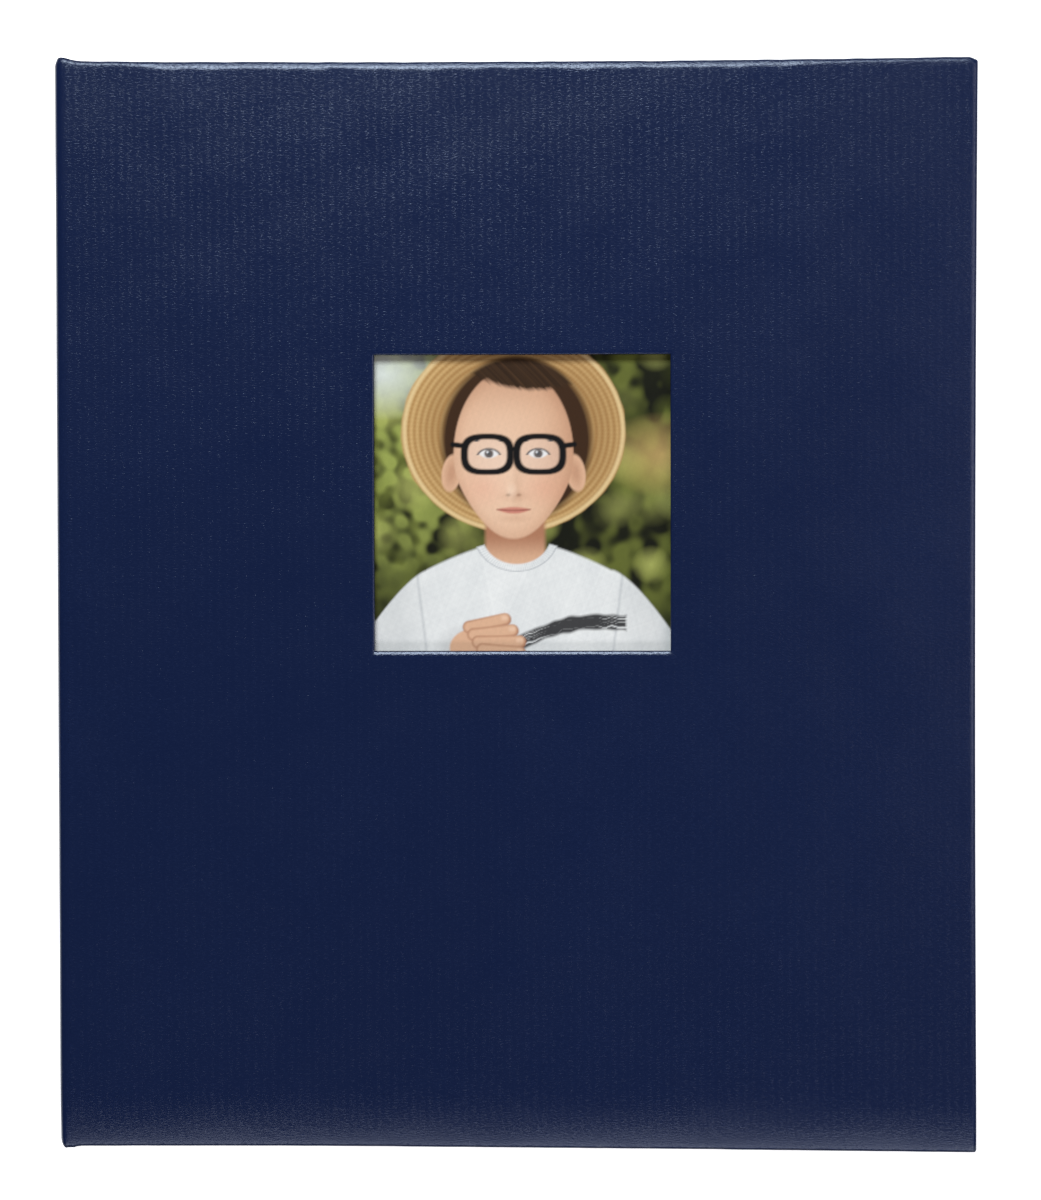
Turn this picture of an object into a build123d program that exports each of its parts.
"""A post-bound scrapbook album in a wraparound case, closed, for 8.5 by 11 inch pages.

The case is three boards in one leatherette wrap. Two flaps hinged to the covers hold the pages between
them on three screw posts, so the posts stay hidden. The front cover has a square window with a print
behind it. Each page is a clear pocket of two welded films around a card.

The album lies on its back cover. +Z is up, the spine is at -X and the head of the pages is at +Y. The
origin is under the middle of the closed album. Lengths are in millimetres.
"""

from build123d import *
import os

os.makedirs("parts", exist_ok=True)

# The closed case
ALBUM_WIDTH = 252.0
ALBUM_HEIGHT = 298.0
WRAP = 0.5
BOARD = 2.8
LINER = 0.5
SPINE_BOARD = 2.2
EDGE_RADIUS = 0.8
TURN_IN = 5.0
HINGE_WIDTH = 4.3
HINGE_CLOTH_WIDTH = 26.0
SPINE_GAP = 0.4

# The window in the front cover
WINDOW = 82.0
WINDOW_OFFSET_X = 1.9
WINDOW_OFFSET_Y = 28.0
WINDOW_TURN_IN = 6.0
WINDOW_TURN_IN_THICKNESS = 0.3
PRINT_SIDE = 92.0
PRINT_THICKNESS = 0.3
POCKET_SIDE = 110.0
POCKET_PANEL = 0.4
POCKET_RIM = 6.0
POCKET_GAP = 1.0

# The pages
PAGE_COUNT = 10
CARD_WIDTH = 215.9
CARD_HEIGHT = 279.4
CARD_THICKNESS = 0.5
CARD_FOOT_GAP = 0.2
PAGE_WIDTH = 220.0
PAGE_HEIGHT = 286.0
PAGE_FORE_GAP = 3.2
FILM = 0.2
WELD_WIDTH = 1.6
WELD_HEIGHT = 0.35
PAGE_CLEARANCE = 0.5

# The binding
EDGE_STRIP_WIDTH = 16.0
EDGE_STRIP_THICKNESS = 1.4
BINDING_X = -119.5
FLAP_BOARD = 1.5
FLAP_SLEEVE = 0.4
FLAP_OVERHANG = 0.5
POST_COUNT = 3
POST_SPACING = 108.0
POST_RADIUS = 2.5
POST_BORE_RADIUS = 1.7
POST_BORE_DEPTH = 12.0
SCREW_RADIUS = 1.5
SCREW_LENGTH = 10.0
HEAD_RADIUS = 5.0
HEAD_THICKNESS = 1.2
HEAD_EDGE_RADIUS = 0.4
HEAD_CLEARANCE = 0.5
SCREW_SLOT_WIDTH = 1.0
SCREW_SLOT_DEPTH = 0.5
STRIP_HOLE_RADIUS = 3.0
FLAP_HOLE_RADIUS = 3.2
POST_END_GAP = 0.5

# Places that follow from them
COVER = WRAP + BOARD + LINER
FLAP = FLAP_BOARD + 2 * FLAP_SLEEVE
STRIP_STACK = PAGE_COUNT * EDGE_STRIP_THICKNESS
ALBUM_THICKNESS = 2 * (COVER + HEAD_CLEARANCE + HEAD_THICKNESS + FLAP) + STRIP_STACK
SPINE_X = -ALBUM_WIDTH / 2
FORE_X = ALBUM_WIDTH / 2
HINGE_X = SPINE_X + HINGE_WIDTH
CLOTH_X = HINGE_X + HINGE_CLOTH_WIDTH
HEAD_Y = ALBUM_HEIGHT / 2
PAGE_HEAD_Y = PAGE_HEIGHT / 2
PAGE_X = FORE_X - PAGE_FORE_GAP - PAGE_WIDTH
FLAP_Z = COVER + HEAD_CLEARANCE + HEAD_THICKNESS
STRIP_Z = FLAP_Z + FLAP
POST_X = BINDING_X + EDGE_STRIP_WIDTH / 2
PAGE_PITCH = (ALBUM_THICKNESS - 2 * (COVER + PAGE_CLEARANCE)) / PAGE_COUNT

# Each cover as the height of its outer face and the direction from there to the pages
BACK = (0.0, 1)
FRONT = (ALBUM_THICKNESS, -1)


def slab(x_range, y_range, z_range):
    """A plate between pairs of limits along X, Y and Z, each pair in either order."""
    ranges = (x_range, y_range, z_range)
    sizes = [abs(b - a) for a, b in ranges]
    centre = [(a + b) / 2 for a, b in ranges]
    return Pos(*centre) * Box(*sizes)


def square(side, z_range):
    """A square plate centred on the cover window."""
    half = side / 2
    x_range = (WINDOW_OFFSET_X - half, WINDOW_OFFSET_X + half)
    y_range = (WINDOW_OFFSET_Y - half, WINDOW_OFFSET_Y + half)
    return slab(x_range, y_range, z_range)


def depths(cover, start, end):
    """The heights that lie the two given depths inside a cover's outer face."""
    outer, inward = cover
    return (outer + inward * start, outer + inward * end)


def post_places():
    """The three post axes, evenly spaced along the binding."""
    first = -POST_SPACING * (POST_COUNT - 1) / 2
    return [(POST_X, first + POST_SPACING * number) for number in range(POST_COUNT)]


def drilled(piece, radius):
    """The piece with a round hole for each post, all the way through."""
    for x, y in post_places():
        piece -= Pos(x, y, ALBUM_THICKNESS / 2) * Cylinder(radius, ALBUM_THICKNESS)
    return piece


def cover_board(cover):
    """Grey board that stiffens a cover. Its spine edge stops at the hinge."""
    y = HEAD_Y - WRAP
    return slab((HINGE_X, FORE_X - WRAP), (-y, y), depths(cover, WRAP, WRAP + BOARD))


def lined_area(cover):
    """The space inside the turned-in leatherette, one liner deep, where cloth and liner are glued."""
    y = HEAD_Y - TURN_IN
    return slab((HINGE_X, FORE_X - TURN_IN), (-y, y), depths(cover, WRAP + BOARD, COVER))


def cover_wrap(cover):
    """Leatherette over a cover's face and round its three free edges, turned in on the inside."""
    skin = slab((HINGE_X, FORE_X), (-HEAD_Y, HEAD_Y), depths(cover, 0, COVER))
    fore_edges = skin.edges().filter_by(Axis.Y).group_by(Axis.X)[-1]
    head_edges = skin.edges().filter_by(Axis.X)
    skin = fillet(fore_edges + head_edges, EDGE_RADIUS)
    return skin - cover_board(cover) - lined_area(cover)


def front_board():
    """The front cover's board, with the window cut out wide enough for the wrap to line it."""
    return cover_board(FRONT) - square(WINDOW + 2 * WRAP, depths(FRONT, 0, COVER))


def front_wrap():
    """The front cover's leatherette, which lines the window and turns in behind the board there."""
    skin = cover_wrap(FRONT)
    skin += square(WINDOW + 2 * WRAP, depths(FRONT, WRAP, WRAP + BOARD))
    turn_in_depths = depths(FRONT, WRAP + BOARD, WRAP + BOARD + WINDOW_TURN_IN_THICKNESS)
    skin += square(WINDOW + 2 * WINDOW_TURN_IN, turn_in_depths)
    skin -= square(WINDOW, depths(FRONT, 0, COVER))
    near_window = WINDOW
    rim = [
        edge
        for edge in skin.edges().group_by(Axis.Z)[-1]
        if abs(edge.center().X - WINDOW_OFFSET_X) < near_window
        and abs(edge.center().Y - WINDOW_OFFSET_Y) < near_window
    ]
    return fillet(rim, EDGE_RADIUS)


def cover_liner(cover):
    """Paper liner on the inside of a cover, from the hinge cloth to the turned-in leatherette."""
    return lined_area(cover) & slab((CLOTH_X, FORE_X), (-HEAD_Y, HEAD_Y), depths(cover, 0, COVER))


def front_liner():
    """The front cover's liner, cut out round the pocket that holds the print."""
    return cover_liner(FRONT) - square(POCKET_SIDE + 2 * POCKET_GAP, depths(FRONT, 0, COVER))


def hinge_cloth(cover):
    """The part of a flap's cloth that is glued to the inside of the cover, along the hinge."""
    return lined_area(cover) & slab((HINGE_X, CLOTH_X), (-HEAD_Y, HEAD_Y), depths(cover, 0, COVER))


def print_depth():
    """How deep the face of the print lies, under the window's turned-in leatherette."""
    return WRAP + BOARD + WINDOW_TURN_IN_THICKNESS


def window_print():
    """The square print that shows in the window."""
    return square(PRINT_SIDE, depths(FRONT, print_depth(), print_depth() + PRINT_THICKNESS))


def pocket_panel():
    """Card that holds the print against the window, glued on three sides and open to the spine."""
    back = print_depth() + PRINT_THICKNESS
    panel = square(POCKET_SIDE, depths(FRONT, WRAP + BOARD, back + POCKET_PANEL))
    room = square(POCKET_SIDE - 2 * POCKET_RIM, depths(FRONT, WRAP + BOARD, back))
    way_in = Pos(-POCKET_RIM, 0, 0) * room
    return panel - room - way_in


def spine_board():
    """Narrow board that stiffens the spine between the two hinges."""
    y = HEAD_Y - WRAP
    low = COVER + SPINE_GAP + WRAP
    x_range = (SPINE_X + WRAP, SPINE_X + WRAP + SPINE_BOARD)
    return slab(x_range, (-y, y), (low, ALBUM_THICKNESS - low))


def spine_wrap():
    """Leatherette over the outside of the spine and round its ends and long edges."""
    low = COVER + SPINE_GAP
    x_range = (SPINE_X, SPINE_X + WRAP + SPINE_BOARD)
    skin = slab(x_range, (-HEAD_Y, HEAD_Y), (low, ALBUM_THICKNESS - low))
    return fillet(skin.faces().sort_by(Axis.X)[0].edges(), EDGE_RADIUS) - spine_board()


def spine_liner():
    """Leatherette strip that lines the inside of the spine."""
    inside = SPINE_X + WRAP + SPINE_BOARD
    y = HEAD_Y - TURN_IN
    low = COVER + SPINE_GAP + WRAP
    return slab((inside, inside + LINER), (-y, y), (low, ALBUM_THICKNESS - low))


def flap_solid(cover, margin):
    """A binding flap's outline, grown by a margin, at its place beside the pages' edge strips."""
    x_range = (
        BINDING_X - FLAP_OVERHANG - margin,
        BINDING_X + EDGE_STRIP_WIDTH + FLAP_OVERHANG + margin,
    )
    y = PAGE_HEAD_Y + margin
    start = FLAP_Z + FLAP_SLEEVE - margin
    return slab(x_range, (-y, y), depths(cover, start, start + FLAP_BOARD + 2 * margin))


def binding_flap(cover):
    """Board flap that clamps the pages on the posts."""
    return drilled(flap_solid(cover, 0), FLAP_HOLE_RADIUS)


def flap_sleeve(cover):
    """Leatherette folded round a flap. The hinge cloth continues it onto the cover."""
    sleeve = flap_solid(cover, FLAP_SLEEVE) - flap_solid(cover, 0)
    return drilled(sleeve, FLAP_HOLE_RADIUS)


def post_barrel(x, y):
    """One hollow post: a flat head under the back flap and a bored barrel up through the stack."""
    top = ALBUM_THICKNESS - FLAP_Z - POST_END_GAP
    length = top - FLAP_Z
    head = Cylinder(HEAD_RADIUS, HEAD_THICKNESS)
    head = fillet(head.edges().group_by(Axis.Z)[0], HEAD_EDGE_RADIUS)
    barrel = Pos(x, y, FLAP_Z - HEAD_THICKNESS / 2) * head
    barrel += Pos(x, y, FLAP_Z + length / 2) * Cylinder(POST_RADIUS, length)
    bore = Cylinder(POST_BORE_RADIUS, POST_BORE_DEPTH)
    return barrel - Pos(x, y, top - POST_BORE_DEPTH / 2) * bore


def post_screw(x, y):
    """One slotted screw: a flat head over the front flap and a shank down into the barrel."""
    seat = ALBUM_THICKNESS - FLAP_Z
    head = Cylinder(HEAD_RADIUS, HEAD_THICKNESS)
    head = fillet(head.edges().group_by(Axis.Z)[-1], HEAD_EDGE_RADIUS)
    slot = Box(2 * HEAD_RADIUS, SCREW_SLOT_WIDTH, 2 * SCREW_SLOT_DEPTH)
    head -= Pos(0, 0, HEAD_THICKNESS / 2) * slot
    screw = Pos(x, y, seat + HEAD_THICKNESS / 2) * head
    return screw + Pos(x, y, seat - SCREW_LENGTH / 2) * Cylinder(SCREW_RADIUS, SCREW_LENGTH)


def place_from_back(number):
    """How many pages lie under a page. Page 1 is next to the front cover."""
    return PAGE_COUNT - number


def binding_edge(number):
    """A page's punched edge strip, clamped in the stack between the flaps."""
    low = STRIP_Z + EDGE_STRIP_THICKNESS * place_from_back(number)
    x_range = (BINDING_X, BINDING_X + EDGE_STRIP_WIDTH)
    strip = slab(x_range, (-PAGE_HEAD_Y, PAGE_HEAD_Y), (low, low + EDGE_STRIP_THICKNESS))
    return drilled(strip, STRIP_HOLE_RADIUS)


def page_middle(number):
    """The height of the plane in which a page's two films are welded."""
    return COVER + PAGE_CLEARANCE + PAGE_PITCH * (place_from_back(number) + 0.5)


def page_film(number, side):
    """One film of a page, with its weld on three edges. Side is 1 for the front film, -1 for the back."""
    middle = page_middle(number)
    x_range = (PAGE_X, PAGE_X + PAGE_WIDTH)
    outer = middle + side * (WELD_HEIGHT + FILM)
    film = slab(x_range, (-PAGE_HEAD_Y, PAGE_HEAD_Y), (middle, outer))
    room = slab(
        (PAGE_X + WELD_WIDTH, PAGE_X + PAGE_WIDTH - WELD_WIDTH),
        (-PAGE_HEAD_Y + WELD_WIDTH, PAGE_HEAD_Y),
        (middle, middle + side * WELD_HEIGHT),
    )
    return film - room


def page_card(number):
    """The card that slides into a page from its open head."""
    middle = page_middle(number)
    centre_x = PAGE_X + PAGE_WIDTH / 2
    foot = -PAGE_HEAD_Y + WELD_WIDTH + CARD_FOOT_GAP
    x_range = (centre_x - CARD_WIDTH / 2, centre_x + CARD_WIDTH / 2)
    z_range = (middle - CARD_THICKNESS / 2, middle + CARD_THICKNESS / 2)
    return slab(x_range, (foot, foot + CARD_HEIGHT), z_range)


def save(shape, name):
    """Writes one node."""
    export_step(shape, f"parts/{name}.step")


save(front_board(), "front_cover_board")
save(front_wrap(), "front_cover_wrap")
save(front_liner(), "front_cover_liner")
save(hinge_cloth(FRONT), "front_hinge_cloth")
save(window_print(), "window_print")
save(pocket_panel(), "print_pocket_panel")

save(cover_board(BACK), "back_cover_board")
save(cover_wrap(BACK), "back_cover_wrap")
save(cover_liner(BACK), "back_cover_liner")
save(hinge_cloth(BACK), "back_hinge_cloth")

save(spine_board(), "spine_board")
save(spine_wrap(), "spine_wrap")
save(spine_liner(), "spine_liner")

save(binding_flap(FRONT), "front_binding_flap")
save(flap_sleeve(FRONT), "front_flap_sleeve")
save(binding_flap(BACK), "back_binding_flap")
save(flap_sleeve(BACK), "back_flap_sleeve")

save(Compound(children=[post_barrel(x, y) for x, y in post_places()]), "post_barrels")
save(Compound(children=[post_screw(x, y) for x, y in post_places()]), "post_screws")

for page in range(1, PAGE_COUNT + 1):
    save(binding_edge(page), f"page_{page:02d}_binding_edge")
    save(page_film(page, 1), f"page_{page:02d}_front_film")
    save(page_film(page, -1), f"page_{page:02d}_back_film")
    save(page_card(page), f"page_{page:02d}_card")
